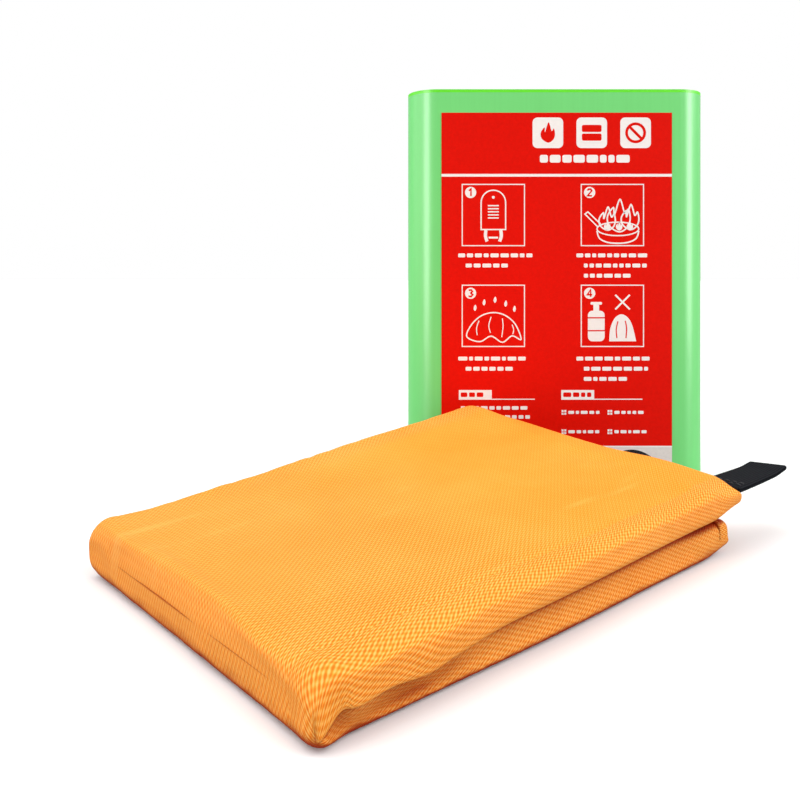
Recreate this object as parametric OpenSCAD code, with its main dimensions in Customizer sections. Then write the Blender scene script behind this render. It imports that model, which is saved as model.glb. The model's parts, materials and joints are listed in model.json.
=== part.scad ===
// Wall-case fire blanket: a flat extruded case that stands upright, and the
// folded blanket pack that comes out of it lying at an angle in front.
//
// Frame: origin at the centre of the case's bottom rim, on the floor.
// +Z up, -Y towards the printed front of the case, +X to the right of it.
// Inside the pack, u runs along its length away from the main fold, v runs
// across its width and z is height above the floor.

/* [Wall case] */
// Outer width of the case
case_w = 192; // [190:1:220]
// Outer depth of the case
case_d = 38; // [38:1:44]
// Height of the case with its cap on
case_h = 249; // [249:1:320]
// Wall thickness of the extruded sleeve
case_wall = 1.8; // [1.2:0.1:2.4]
// Outer radius of the sleeve's four upright corners
case_corner_r = 18.5; // [8:0.5:18.5]

/* [Top cap] */
// Thickness of the cap's visible plate
cap_t = 2; // [1:0.1:3]
// Depth of the cap's skirt inside the sleeve
cap_skirt_h = 8; // [5:0.5:15]
// Wall thickness of the cap's skirt
cap_skirt_t = 1.6; // [1.2:0.1:2.4]
// Play between the skirt and the sleeve, on each side
cap_gap = 0.1; // [0.05:0.01:0.2]

/* [Hanging holes] */
// Diameter of each screw hole in the back wall
hole_d = 5; // [4:0.5:7]
// Distance between the two screw holes
hole_spacing = 100; // [60:5:120]
// Distance of the screw holes below the top of the case
hole_drop = 40; // [25:5:80]

/* [Front label] */
// Width of the printed label
label_w = 147; // [120:1:150]
// Height of the printed label
label_h = 230; // [180:1:230]
// Thickness of the label film
label_t = 0.25; // [0.1:0.05:0.5]
// Distance of the label below the top of the case
label_drop = 15; // [5:1:15]
// Sideways offset of the label from the middle of the case
label_shift = -1.5; // [-1.5:0.5:1.5]

/* [Blanket pack] */
// Length of the pack, from its main fold to its open end
pack_l = 240; // [200:1:240]
// Width of the pack
pack_w = 172; // [150:1:172]
// Radius of the main fold, and thickness of one half there
fold_r = 12; // [10:0.5:13]
// Thickness of one half at the open end
half_t_open = 17; // [13:0.5:20]
// Height of the gap between the halves at the open end
open_gap = 4.2; // [2:0.1:8]
// How much further than the lower half the upper half reaches
upper_overhang = 4; // [2:0.5:5]
// Radius of the folds along the pack's long sides
side_fold_r = 5.5; // [3:0.5:5.5]
// Clearance between the two halves at the main fold
fold_gap = 0.1; // [0.05:0.01:0.2]

/* [Pack position] */
// Turn of the pack about the upright axis, in degrees
pack_yaw = 40.5; // [0:0.5:41]
// Left-right place of the pack's near fold corner
pack_x = -125.6; // [-150:0.1:-100]
// Front-back place of the pack's near fold corner
pack_y = -310.7; // [-400:0.1:-310.7]

/* [Hem] */
// Width of the hem along the open end
hem_w = 9; // [6:0.5:12]
// Thickness the doubled cloth of the hem adds
hem_t = 0.6; // [0.4:0.1:0.8]
// Distance from one hem stitch to the next
stitch_pitch = 6; // [5:0.5:12]
// Length of one stitch
stitch_l = 3.6; // [2:0.1:4.4]
// Diameter of the sewing thread
thread_d = 0.5; // [0.3:0.1:0.6]

/* [Pull tapes] */
// Width of the webbing
tape_w = 20; // [15:1:25]
// Thickness of one layer of webbing
tape_t = 1.5; // [1:0.1:1.8]
// Play between the two layers of a tape loop
loop_gap = 0.6; // [0.4:0.1:1]
// Length of the right tape outside the pack
right_tape_l = 48; // [30:1:60]
// Distance of the right tape's middle from the pack's near long side
right_tape_v = 12; // [11:1:30]
// Height of the right tape's root above the floor
right_tape_z = 29; // [27:0.5:30]
// How far the end of the right tape curls up
right_tape_curl = 4; // [0:0.5:10]
// Distance of the left tape's middle from the pack's near long side
left_tape_v = 62; // [50:1:120]
// Height of the left tape's root above the floor
left_tape_z = 11; // [8:0.5:12]
// Height of the left tape's arch above its root
left_arch_h = 26; // [22:0.5:30]

/* [Hidden] */
$fn = 64;

eps = 0.01; // makes cutting bodies reach past the face they cut
sleeve_h = case_h - cap_t;
bound_reach = 100; // how far a bounding body reaches past the pack
upper_l = pack_l + upper_overhang;
lower_slope = (half_t_open - fold_r) / pack_l;
upper_slope = lower_slope + open_gap / pack_l;
loop_t = 2 * tape_t + loop_gap; // a tape loop, both layers
root_gap = 0.2; // between the rounded root of a tape and the pack's end
left_bend_r = 8; // where the left tape turns up behind the pack
left_arch_r = 6; // over the top of the left tape's arch
left_leg_drop = 2; // how far the arch's outer leg ends below its root
tape_seams = [3.5, 6.5]; // places of the two seams across a tape loop
left_slot_start = 9; // point of the left tape's path where its layers part
stitch_edge = 8; // first and last stitch from the pack's long sides
end_steps = 10; // steps in the half round at the end of a tape
stitch_inset = 1.2; // hem stitches from the hem's inner edge
orange = [1.0, 0.66, 0.27];
dark_orange = [0.86, 0.47, 0.15];
webbing_black = [0.15, 0.15, 0.17];
thread_grey = [0.35, 0.35, 0.38];
thread_orange = [0.93, 0.55, 0.2];

// ---------------------------------------------------------------- shapes

// A rectangle with round corners, centred on the origin.
module rounded_rect(w, d, r) {
    square([w - 2 * r, d], center = true);
    square([w, d - 2 * r], center = true);
    for (x = [-1, 1], y = [-1, 1])
        translate([x * (w / 2 - r), y * (d / 2 - r)]) circle(r);
}

// The plan outline of the case, inset by d on every side.
module case_outline(inset = 0) {
    rounded_rect(case_w - 2 * inset, case_d - 2 * inset, case_corner_r - inset);
}

// Puts a shape drawn in the pack's own u, v, z into its place.
module in_pack() {
    translate([pack_x, pack_y, 0]) rotate([0, 0, pack_yaw]) children();
}

// Extrudes a side view, drawn in u and z, across the pack from v = v0.
module across_pack(v0, width) {
    translate([0, v0 + width, 0]) rotate([90, 0, 0]) linear_extrude(width) children();
}

// Extrudes an end view, drawn in v and z, along the pack from u = u0.
module along_pack(u0, length) {
    translate([u0, 0, 0]) rotate([90, 0, 90]) linear_extrude(length) children();
}

// Bounds a half of the pack from below (side = 1) or above (side = -1). The
// bound passes through height z at u and leans with the slope, and its long
// edges are round, as folded cloth is. g grows it all round.
module face_bound(side, u, z, slope, g) {
    translate([u, 0, z - side * g]) rotate([0, -atan(slope), 0])
        along_pack(-bound_reach, upper_l + 2 * bound_reach)
            translate([pack_w / 2, side * bound_reach / 2])
                rounded_rect(pack_w + 2 * g, bound_reach, side_fold_r + g);
}

// The length of a half, with the round of the main fold at u = 0.
module fold_and_length(length) {
    across_pack(-bound_reach, pack_w + 2 * bound_reach) {
        translate([fold_r, fold_r]) circle(fold_r);
        translate([fold_r, -bound_reach]) square([length - fold_r, 2 * bound_reach]);
    }
}

// The lower half lies flat on the floor, and its top leans up from the fold.
module lower_body(g = 0) {
    intersection() {
        fold_and_length(pack_l);
        face_bound(1, 0, 0, 0, g);
        face_bound(-1, 0, fold_r - fold_gap / 2, lower_slope, g);
    }
}

// The upper half opens upwards from the lower one, and thickens as it goes.
module upper_body(g = 0) {
    intersection() {
        fold_and_length(upper_l);
        face_bound(1, 0, fold_r + fold_gap / 2, upper_slope, g);
        face_bound(-1, fold_r, 2 * fold_r, upper_slope + lower_slope, g);
    }
}

// The points of an arc, from angle a to angle b about a centre.
function arc_points(c, r, a, b, n = 12) =
    [for (i = [0:n]) let (w = a + (b - a) * i / n) [c[0] + r * cos(w), c[1] + r * sin(w)]];

// The direction of a path at point i, as a unit vector.
function path_dir(p, i) =
    let (d = p[min(i + 1, len(p) - 1)] - p[max(i - 1, 0)]) d / norm(d);

// The angle of a direction.
function dir_angle(d) = atan2(d[1], d[0]);

// The outline of a band of thickness t that follows the path p, with a half
// round at each end.
function band_outline(p, t) = concat(
    [for (i = [0:len(p) - 1]) let (d = path_dir(p, i)) p[i] + t / 2 * [-d[1], d[0]]],
    end_round(p[len(p) - 1], t, dir_angle(path_dir(p, len(p) - 1)) + 90),
    [for (i = [len(p) - 1:-1:0]) let (d = path_dir(p, i)) p[i] - t / 2 * [-d[1], d[0]]],
    end_round(p[0], t, dir_angle(path_dir(p, 0)) - 90)
);

// The inner points of a half round of diameter t, turning clockwise from a.
function end_round(c, t, a) =
    [for (k = [1:end_steps - 1]) let (w = a - 180 * k / end_steps)
        c + t / 2 * [cos(w), sin(w)]];

// The part of a path from point a to point b.
function path_part(p, a, b) = [for (i = [a:b]) p[i]];

// A webbing loop seen from its side: two layers along the path, joined where
// it turns at the far end and sewn together from the root to point first_open.
module tape_side_view(path, first_open) {
    difference() {
        polygon(band_outline(path, loop_t));
        polygon(band_outline(path_part(path, first_open, len(path) - 1), loop_gap));
    }
}

// One stitch, lying along v.
module stitch() {
    rotate([-90, 0, 0]) cylinder(d = thread_d, h = stitch_l, center = true, $fn = 16);
}

// The right tape lies out from its root and curls up at its end.
right_steps = 12;
right_path = [
    for (i = [0:right_steps]) let (s = i / right_steps)
        [s * right_tape_l, right_tape_curl * pow(s, 3)]
];

// The left tape turns up behind the pack and arches back down.
left_path = concat(
    arc_points([0, left_bend_r], left_bend_r, -90, 0),
    arc_points([left_bend_r + left_arch_r, left_arch_h - left_arch_r], left_arch_r, 180, 0),
    [[left_bend_r + 2 * left_arch_r, -left_leg_drop]]
);

// Puts a tape's side view at its root, centred on v.
module place_tape(u, v, z) {
    in_pack() translate([u + loop_t / 2 + root_gap, 0, z]) across_pack(v - tape_w / 2, tape_w)
        children();
}

// The length of a path up to its point i.
function path_len(p, i) = i == 0 ? 0 : path_len(p, i - 1) + norm(p[i] - p[i - 1]);

// Two rows of stitches across a tape, on both of its faces, at set distances
// along the tape from its root.
module tape_stitches(u, v, z, path) {
    count = floor((tape_w - 4) / stitch_pitch) + 1;
    first = -(count - 1) * stitch_pitch / 2;
    for (seam = tape_seams, side = [-1, 1]) {
        i = max([for (k = [0:len(path) - 2]) path_len(path, k) <= seam ? k : 0]);
        step = path[i + 1] - path[i];
        dir = step / norm(step);
        spot = path[i] + (seam - path_len(path, i)) * dir
            + side * (loop_t + thread_d) / 2 * [-dir[1], dir[0]];
        in_pack() translate([u + loop_t / 2 + root_gap + spot[0], v, z + spot[1]])
            for (k = [0:count - 1]) translate([0, first + k * stitch_pitch, 0]) stitch();
    }
}

// ---------------------------------------------------------------- case

module case_sleeve() {
    color([0.5, 0.88, 0.54]) difference() {
        linear_extrude(sleeve_h) case_outline();
        translate([0, 0, -eps]) linear_extrude(sleeve_h + 2 * eps) case_outline(case_wall);
        for (x = [-1, 1])
            translate([x * hole_spacing / 2, case_d / 2 + 1, case_h - hole_drop])
                rotate([90, 0, 0]) cylinder(d = hole_d, h = case_wall + 2);
    }
}

module top_cap() {
    skirt = case_wall + cap_gap;
    color([0.38, 0.91, 0.0]) {
        translate([0, 0, sleeve_h]) linear_extrude(cap_t) case_outline();
        difference() {
            translate([0, 0, sleeve_h - cap_skirt_h]) linear_extrude(cap_skirt_h + cap_t / 2)
                case_outline(skirt);
            translate([0, 0, sleeve_h - cap_skirt_h - eps]) linear_extrude(cap_skirt_h + eps)
                case_outline(skirt + cap_skirt_t);
        }
    }
}

module front_label() {
    color([0.91, 0.08, 0.0])
        translate([label_shift - label_w / 2, -case_d / 2 - label_t, case_h - label_drop - label_h])
            cube([label_w, label_t, label_h]);
}

// ---------------------------------------------------------------- blanket

module blanket_lower_half() {
    color(orange) in_pack() lower_body();
}

module blanket_upper_half() {
    color(orange) in_pack() upper_body();
}

// The outer layer's hem, a band of doubled cloth around the open end of the
// lower half's top and sides.
module lower_hem() {
    color(dark_orange) in_pack() difference() {
        intersection() {
            lower_body(hem_t);
            translate([pack_l - hem_w, -bound_reach, side_fold_r])
                cube([hem_w, pack_w + 2 * bound_reach, bound_reach]);
        }
        lower_body();
    }
}

// The same band on the underside and sides of the upper half.
module upper_hem() {
    color(dark_orange) in_pack() difference() {
        intersection() {
            upper_body(hem_t);
            translate([upper_l - hem_w, -bound_reach, 0])
                cube([hem_w, pack_w + 2 * bound_reach, 2 * fold_r + side_fold_r]);
        }
        upper_body();
    }
}

// A row of stitches across the pack at height z and distance u.
module hem_stitches(u, z) {
    count = floor((pack_w - 2 * stitch_edge) / stitch_pitch) + 1;
    first = (pack_w - (count - 1) * stitch_pitch) / 2;
    in_pack() for (k = [0:count - 1]) translate([u, first + k * stitch_pitch, z]) stitch();
}

module lower_hem_stitching() {
    u = pack_l - hem_w + stitch_inset;
    color(thread_orange)
        hem_stitches(u, fold_r - fold_gap / 2 + lower_slope * u + hem_t + thread_d / 2);
}

module upper_hem_stitching() {
    u = upper_l - hem_w + stitch_inset;
    color(thread_orange)
        hem_stitches(u, fold_r + fold_gap / 2 + upper_slope * u - hem_t - thread_d / 2);
}

// ---------------------------------------------------------------- pull tapes

module pull_tape_right() {
    color(webbing_black) place_tape(upper_l, right_tape_v, right_tape_z)
        tape_side_view(right_path, 2);
}

module right_tape_stitching() {
    color(thread_grey) tape_stitches(upper_l, right_tape_v, right_tape_z, right_path);
}

module pull_tape_left() {
    color(webbing_black) place_tape(pack_l, left_tape_v, left_tape_z)
        tape_side_view(left_path, left_slot_start);
}

module left_tape_stitching() {
    color(thread_grey) tape_stitches(pack_l, left_tape_v, left_tape_z, left_path);
}

case_sleeve();
top_cap();
front_label();
blanket_lower_half();
lower_hem();
lower_hem_stitching();
blanket_upper_half();
upper_hem();
upper_hem_stitching();
pull_tape_right();
right_tape_stitching();
pull_tape_left();
left_tape_stitching();
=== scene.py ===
"""Looks of the fire blanket: the folded orange cloth pack, its two webbing
pull tapes, and the green wall case with its printed label.

Lengths are in metres. The pack is built in its own coordinates: u along its
length from the main fold, v across it from its near long side, z upwards.
"""

import json
import math
import random

import bpy
import numpy as np
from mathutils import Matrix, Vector, noise


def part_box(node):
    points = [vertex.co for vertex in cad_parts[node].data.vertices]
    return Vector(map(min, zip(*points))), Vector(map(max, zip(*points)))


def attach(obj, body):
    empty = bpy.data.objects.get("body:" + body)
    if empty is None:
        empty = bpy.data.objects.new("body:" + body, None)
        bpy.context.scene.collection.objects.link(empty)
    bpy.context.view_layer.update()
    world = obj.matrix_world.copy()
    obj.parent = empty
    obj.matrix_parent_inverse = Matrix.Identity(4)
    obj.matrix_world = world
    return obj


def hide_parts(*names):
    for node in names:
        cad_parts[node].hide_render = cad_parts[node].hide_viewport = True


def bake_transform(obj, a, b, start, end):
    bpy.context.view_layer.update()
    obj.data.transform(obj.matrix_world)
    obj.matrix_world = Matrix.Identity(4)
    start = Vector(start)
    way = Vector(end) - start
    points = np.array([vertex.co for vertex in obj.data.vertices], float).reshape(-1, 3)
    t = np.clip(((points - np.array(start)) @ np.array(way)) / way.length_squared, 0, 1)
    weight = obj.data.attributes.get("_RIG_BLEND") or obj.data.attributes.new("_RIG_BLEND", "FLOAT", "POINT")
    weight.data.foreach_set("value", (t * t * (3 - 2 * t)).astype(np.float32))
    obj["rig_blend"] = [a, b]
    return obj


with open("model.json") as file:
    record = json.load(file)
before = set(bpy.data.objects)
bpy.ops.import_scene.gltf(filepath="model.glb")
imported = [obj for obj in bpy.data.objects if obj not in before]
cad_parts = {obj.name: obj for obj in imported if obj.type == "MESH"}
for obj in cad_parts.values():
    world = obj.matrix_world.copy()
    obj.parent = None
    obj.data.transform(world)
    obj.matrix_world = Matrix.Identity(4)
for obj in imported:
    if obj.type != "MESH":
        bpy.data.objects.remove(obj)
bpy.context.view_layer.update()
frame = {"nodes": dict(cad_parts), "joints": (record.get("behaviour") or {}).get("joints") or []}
MM = 0.001
NODES = frame["nodes"]
JOINTS = {j["name"]: j for j in frame["joints"]}


# ------------------------------------------------------------------ frame

FOLD_AXIS = Vector(JOINTS["fold_open"]["axis"]).normalized()
FOLD_POINT = Vector(JOINTS["fold_open"]["pos_m"])
DIR_Z = Vector((0, 0, 1))
DIR_V = -FOLD_AXIS
DIR_U = DIR_V.cross(DIR_Z)


def to_pack(points):
    """Row-frame points as (u, v, z), with v counted from the fold line's middle."""
    p = np.asarray(points, float).reshape(-1, 3)
    d = p - np.array((FOLD_POINT.x, FOLD_POINT.y, 0.0))
    return np.stack([d @ np.array(DIR_U), d @ np.array(DIR_V), p[:, 2]], 1)


def pack_box(node):
    """Lowest and highest (u, v, z) of a CAD node."""
    local = to_pack([v.co for v in NODES[node].data.vertices])
    return local.min(0), local.max(0)


LOWER_MIN, LOWER_MAX = pack_box("blanket_lower_half")
UPPER_MIN, UPPER_MAX = pack_box("blanket_upper_half")
UPPER_POINTS = to_pack([v.co for v in NODES["blanket_upper_half"].data.vertices])
PACK_W = LOWER_MAX[1] - LOWER_MIN[1]
NEAR_V = LOWER_MIN[1]
LOWER_L = LOWER_MAX[0]
UPPER_L = UPPER_MAX[0]
FOLD_R = FOLD_POINT.z


def from_pack(u, v, z):
    """Pack coordinates, v counted from the near long side, as row-frame points."""
    u, v, z = (np.asarray(a, float)[..., None] for a in (u, v, z))
    base = np.array((FOLD_POINT.x, FOLD_POINT.y, 0.0))
    return base + u * np.array(DIR_U) + (v + NEAR_V) * np.array(DIR_V) + z * np.array(DIR_Z)


def smooth(x, low, high):
    """0 below low, 1 above high, and a soft step between them."""
    t = np.clip((x - low) / (high - low), 0, 1)
    return t * t * (3 - 2 * t)


def hump(x, middle, width):
    """A soft bump of height 1 at the middle."""
    return np.exp(-(((x - middle) / width) ** 2))


def wander(points, scale, seed):
    """Smooth noise at each point, about -1 to 1, with features of the given size."""
    shift = Vector((seed * 7.31, seed * 3.17, seed * 1.91))
    flat = np.asarray(points, float).reshape(-1, 3)
    values = [noise.noise(Vector(p) / scale + shift) for p in flat]
    return np.array(values).reshape(np.shape(points)[:-1]) * 2.0


# ------------------------------------------------------------------ meshes

def make_object(name, verts, faces, uvs=None, material=None, shade_smooth=True):
    """A mesh object from plain lists; uvs holds one (u, v) for each face corner."""
    mesh = bpy.data.meshes.new(name)
    mesh.from_pydata([tuple(v) for v in np.asarray(verts, float).reshape(-1, 3)], [], faces)
    if uvs is not None:
        layer = mesh.uv_layers.new(name="cloth")
        layer.data.foreach_set("uv", np.asarray(uvs, np.float32).ravel())
    mesh.polygons.foreach_set("use_smooth", [shade_smooth] * len(mesh.polygons))
    mesh.update()
    obj = bpy.data.objects.new(name, mesh)
    bpy.context.scene.collection.objects.link(obj)
    if material is not None:
        mesh.materials.append(material)
    return obj


def tube(rings, ring_uv, along_uv, cap_start=True, cap_end=True):
    """Vertices, faces and corner UVs of a closed tube of rings of points.

    ring_uv has one more value than a ring has points, so that the seam closes."""
    count, size = rings.shape[:2]
    verts = rings.reshape(-1, 3)
    faces, uvs = [], []
    for i in range(count - 1):
        for k in range(size):
            n = (k + 1) % size
            faces.append((i * size + k, i * size + n, (i + 1) * size + n, (i + 1) * size + k))
            low, high = ring_uv[k], ring_uv[k + 1]
            a, b = along_uv[i], along_uv[i + 1]
            uvs += [(a, low), (a, high), (b, high), (b, low)]
    for wanted, row, turn in ((cap_start, 0, -1), (cap_end, count - 1, 1)):
        if wanted:
            ring = [row * size + k for k in range(size)][::turn]
            faces.append(tuple(ring))
            uvs += [(along_uv[row], ring_uv[k]) for k in range(size)][::turn]
    return verts, faces, uvs


def path_lengths(points, closed=False):
    """Length along a path up to each point, and back to the start if it is closed."""
    p = np.asarray(points, float)
    if closed:
        p = np.vstack([p, p[:1]])
    steps = np.linalg.norm(np.diff(p, axis=0), axis=1)
    return np.concatenate([[0.0], np.cumsum(steps)])


# ------------------------------------------------------------------ materials

def material(name):
    """An empty node material: (material, new-node function, link function, output shader)."""
    made = bpy.data.materials.new(name)
    made.use_nodes = True
    tree = made.node_tree
    shader = tree.nodes["Principled BSDF"]

    def add(kind, **settings):
        node = tree.nodes.new(kind)
        for key, value in settings.items():
            if key in node.inputs:
                node.inputs[key].default_value = value
            else:
                setattr(node, key, value)
        return node

    return made, add, tree.links.new, shader


def math_node(add, link, operation, a, b=None):
    """A Math node with links or numbers on its two inputs; returns its output."""
    node = add("ShaderNodeMath", operation=operation)
    for slot_index, value in enumerate((a, b)):
        if value is None:
            continue
        if isinstance(value, (int, float)):
            node.inputs[slot_index].default_value = value
        else:
            link(value, node.inputs[slot_index])
    return node.outputs[0]


def colour_ramp(add, link, factor, stops):
    """A ColorRamp node over the (position, colour) stops; returns its colour."""
    ramp = add("ShaderNodeValToRGB")
    elements = ramp.color_ramp.elements
    while len(elements) < len(stops):
        elements.new(0.5)
    for element, (position, colour) in zip(elements, stops):
        element.position = position
        element.color = (*colour, 1.0)
    link(factor, ramp.inputs["Fac"])
    return ramp.outputs["Color"]


def wave_sum(add, link, x, y, waves):
    """The sum of cosines amplitude * cos(2 pi (p x + q y)) over (amplitude, p, q)."""
    total = None
    for amplitude, p, q in waves:
        phase = math_node(
            add, link, "ADD",
            math_node(add, link, "MULTIPLY", x, p * 2 * math.pi),
            math_node(add, link, "MULTIPLY", y, q * 2 * math.pi),
        )
        wave = math_node(add, link, "MULTIPLY", math_node(add, link, "COSINE", phase), amplitude)
        total = wave if total is None else math_node(add, link, "ADD", total, wave)
    return total


# The coated glass weave: rows of short slanted floats, each row shifted against the last.
FLOAT_U = 3.3 * MM
ROW_V = 2.0 * MM
ROW_SHIFT = 0.3              # of a float
WEAVE_WAVES = ((0.34, 1, 1), (0.60, 1, 2), (0.38, -1, 1))
PRESSED_FROM, PRESSED_TO = 0.31, 0.43    # metres along the cloth where the top gets flatter
# Painted shade in creases: the cloth colour is darkened where other cloth lies within this reach.
CREASE_SHADE_REACH = 10 * MM            # how near other cloth must be to darken a crease
PAINTED_CREASE_SHADE_COLOUR = (0.40, 0.035, 0.001)


def step_node(add, link, value, low, high):
    """A soft step from 0 at low to 1 at high."""
    ramp = add("ShaderNodeMapRange", interpolation_type="SMOOTHSTEP")
    ramp.inputs["From Min"].default_value = low
    ramp.inputs["From Max"].default_value = high
    link(value, ramp.inputs["Value"])
    return ramp.outputs["Result"]


def weave_relief(add, link, uv):
    """The weave's height, -1 to 1, which is pressed flatter on top near the open end."""
    wobble = add("ShaderNodeTexNoise", Scale=70.0, Detail=2.0)
    link(uv, wobble.inputs["Vector"])
    shifted = add("ShaderNodeVectorMath", operation="MULTIPLY_ADD")
    link(wobble.outputs["Color"], shifted.inputs[0])
    shifted.inputs[1].default_value = (0.5 * MM, 0.5 * MM, 0)
    link(uv, shifted.inputs[2])
    split = add("ShaderNodeSeparateXYZ")
    link(shifted.outputs[0], split.inputs[0])
    x = math_node(add, link, "DIVIDE", split.outputs[0], FLOAT_U)
    rows = math_node(add, link, "DIVIDE", split.outputs[1], -ROW_V)
    y = math_node(add, link, "ADD", rows, math_node(add, link, "MULTIPLY", x, ROW_SHIFT))
    weave = wave_sum(add, link, x, y, WEAVE_WAVES)
    on_end = step_node(add, link, split.outputs[0], PRESSED_FROM, PRESSED_TO)
    on_top = step_node(add, link, split.outputs[1], 0.150, 0.140)
    pressed = math_node(add, link, "MULTIPLY", on_end, on_top)
    strength = math_node(add, link, "MULTIPLY_ADD", pressed, -0.6)
    strength.node.inputs[2].default_value = 1.0
    return math_node(add, link, "MULTIPLY", weave, strength)


def pale_creases(add, link, uv):
    """Faint slanted lines where the coating was creased, as a mixing factor."""
    stretch = add("ShaderNodeMapping")
    stretch.inputs["Rotation"].default_value = (0, 0, math.radians(38))
    stretch.inputs["Scale"].default_value = (7.0, 70.0, 1.0)
    link(uv, stretch.inputs["Vector"])
    lines = add("ShaderNodeTexNoise", Scale=1.0, Detail=4.0, Roughness=0.62)
    link(stretch.outputs[0], lines.inputs["Vector"])
    return colour_ramp(add, link, lines.outputs["Fac"],
                       ((0.60, (0, 0, 0)), (0.72, (0.35, 0.35, 0.35))))


def painted_crease_shade(add, link, colour):
    """The colour with painted shade: turned a dark red-brown where other cloth lies close around it, as
    shade falls in a crease.
    """
    around = add("ShaderNodeAmbientOcclusion", samples=8)
    around.inputs["Distance"].default_value = CREASE_SHADE_REACH
    hidden = step_node(add, link, around.outputs["AO"], 0.92, 0.50)
    mix = add("ShaderNodeMix", data_type="RGBA")
    link(hidden, mix.inputs["Factor"])
    link(colour, mix.inputs["A"])
    mix.inputs["B"].default_value = (*PAINTED_CREASE_SHADE_COLOUR, 1)
    return mix.outputs["Result"]


def cloth_material(name, valley, middle, crest, bump=0.6):
    """Silicone-coated glass cloth: slanted floats with painted shade in the weave's valleys and painted
    highlight on its crests, uneven tone, faint pale creases and painted shade in the creases.
    """
    made, add, link, shader = material(name)
    uv = add("ShaderNodeUVMap", uv_map="cloth").outputs[0]
    weave = weave_relief(add, link, uv)
    height = math_node(add, link, "MULTIPLY_ADD", weave, 0.5)
    height.node.inputs[2].default_value = 0.5
    patches = add("ShaderNodeTexNoise", Scale=22.0, Detail=3.0, Roughness=0.55)
    link(uv, patches.inputs["Vector"])
    toned = math_node(add, link, "MULTIPLY_ADD", patches.outputs["Fac"], 0.26)
    toned.node.inputs[2].default_value = -0.13
    shade = math_node(add, link, "ADD", height, toned)
    # The weave's height is painted into the colour: painted shade in the valleys, painted highlight on the
    # crests.
    colour = colour_ramp(add, link, shade, ((0.10, valley), (0.50, middle), (0.94, crest)))
    pale = add("ShaderNodeMix", data_type="RGBA")
    link(pale_creases(add, link, uv), pale.inputs["Factor"])
    link(colour, pale.inputs["A"])
    pale.inputs["B"].default_value = (*crest, 1)
    # Painted crease shade laid over the weave colour.
    link(painted_crease_shade(add, link, pale.outputs["Result"]), shader.inputs["Base Color"])
    rough = math_node(add, link, "MULTIPLY_ADD", weave, -0.08)
    rough.node.inputs[2].default_value = 0.6
    link(rough, shader.inputs["Roughness"])
    bumped = add("ShaderNodeBump", Strength=bump, Distance=0.5 * MM)
    link(height, bumped.inputs["Height"])
    link(bumped.outputs[0], shader.inputs["Normal"])
    shader.inputs["Specular IOR Level"].default_value = 0.09
    return made


# Cloth colour at the weave's valley (with painted shade), middle and crest (with painted highlight); the
# crest colour also tints the pale creases.
ORANGE_VALLEY = (0.84, 0.185, 0.010)
ORANGE_MIDDLE = (0.97, 0.33, 0.032)
ORANGE_CREST = (1.0, 0.52, 0.13)
CLOTH = cloth_material("cloth_orange", ORANGE_VALLEY, ORANGE_MIDDLE, ORANGE_CREST)
# The same cloth painted darker for the folded layers inside the open ends: painted shade.
CLOTH_INSIDE_SHADED = cloth_material(
    "cloth_orange_layers", (0.60, 0.12, 0.008), (0.80, 0.23, 0.025), (0.90, 0.36, 0.07)
)


def webbing_material():
    """Black polyester webbing: ribs along its length crossed by fine weft lines."""
    made, add, link, shader = material("webbing_black")
    uv = add("ShaderNodeUVMap", uv_map="cloth")
    split = add("ShaderNodeSeparateXYZ")
    link(uv.outputs[0], split.inputs[0])
    along = math_node(add, link, "DIVIDE", split.outputs[0], 1.0 * MM)
    across = math_node(add, link, "DIVIDE", split.outputs[1], 1.6 * MM)
    weave = wave_sum(add, link, along, across,
                     ((0.45, 0, 1), (0.35, 1, 0.5), (0.35, 1, -0.5)))
    fuzz = add("ShaderNodeTexNoise", Scale=900.0, Detail=2.0)
    link(uv.outputs[0], fuzz.inputs["Vector"])
    height = math_node(add, link, "MULTIPLY_ADD", weave, 0.4)
    height.node.inputs[2].default_value = 0.5
    shade = math_node(add, link, "ADD", height,
                      math_node(add, link, "MULTIPLY", fuzz.outputs["Fac"], 0.25))
    colour = colour_ramp(add, link, shade, (
        (0.1, (0.002, 0.0025, 0.004)), (0.6, (0.006, 0.007, 0.010)), (1.0, (0.018, 0.020, 0.025))))
    link(colour, shader.inputs["Base Color"])
    bumped = add("ShaderNodeBump", Strength=0.5, Distance=0.25 * MM)
    link(height, bumped.inputs["Height"])
    link(bumped.outputs[0], shader.inputs["Normal"])
    shader.inputs["Roughness"].default_value = 0.8
    shader.inputs["Specular IOR Level"].default_value = 0.06
    return made


def thread_material(name, dark, light):
    """Twisted sewing thread."""
    made, add, link, shader = material(name)
    place = add("ShaderNodeTexCoord")
    twist = add("ShaderNodeTexWave", Scale=900.0, Distortion=1.5)
    twist.bands_direction = "DIAGONAL"
    link(place.outputs["Object"], twist.inputs["Vector"])
    colour = colour_ramp(add, link, twist.outputs["Fac"], ((0.0, dark), (1.0, light)))
    link(colour, shader.inputs["Base Color"])
    bumped = add("ShaderNodeBump", Strength=0.4, Distance=0.1 * MM)
    link(twist.outputs["Fac"], bumped.inputs["Height"])
    link(bumped.outputs[0], shader.inputs["Normal"])
    shader.inputs["Roughness"].default_value = 0.6
    return made


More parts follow.
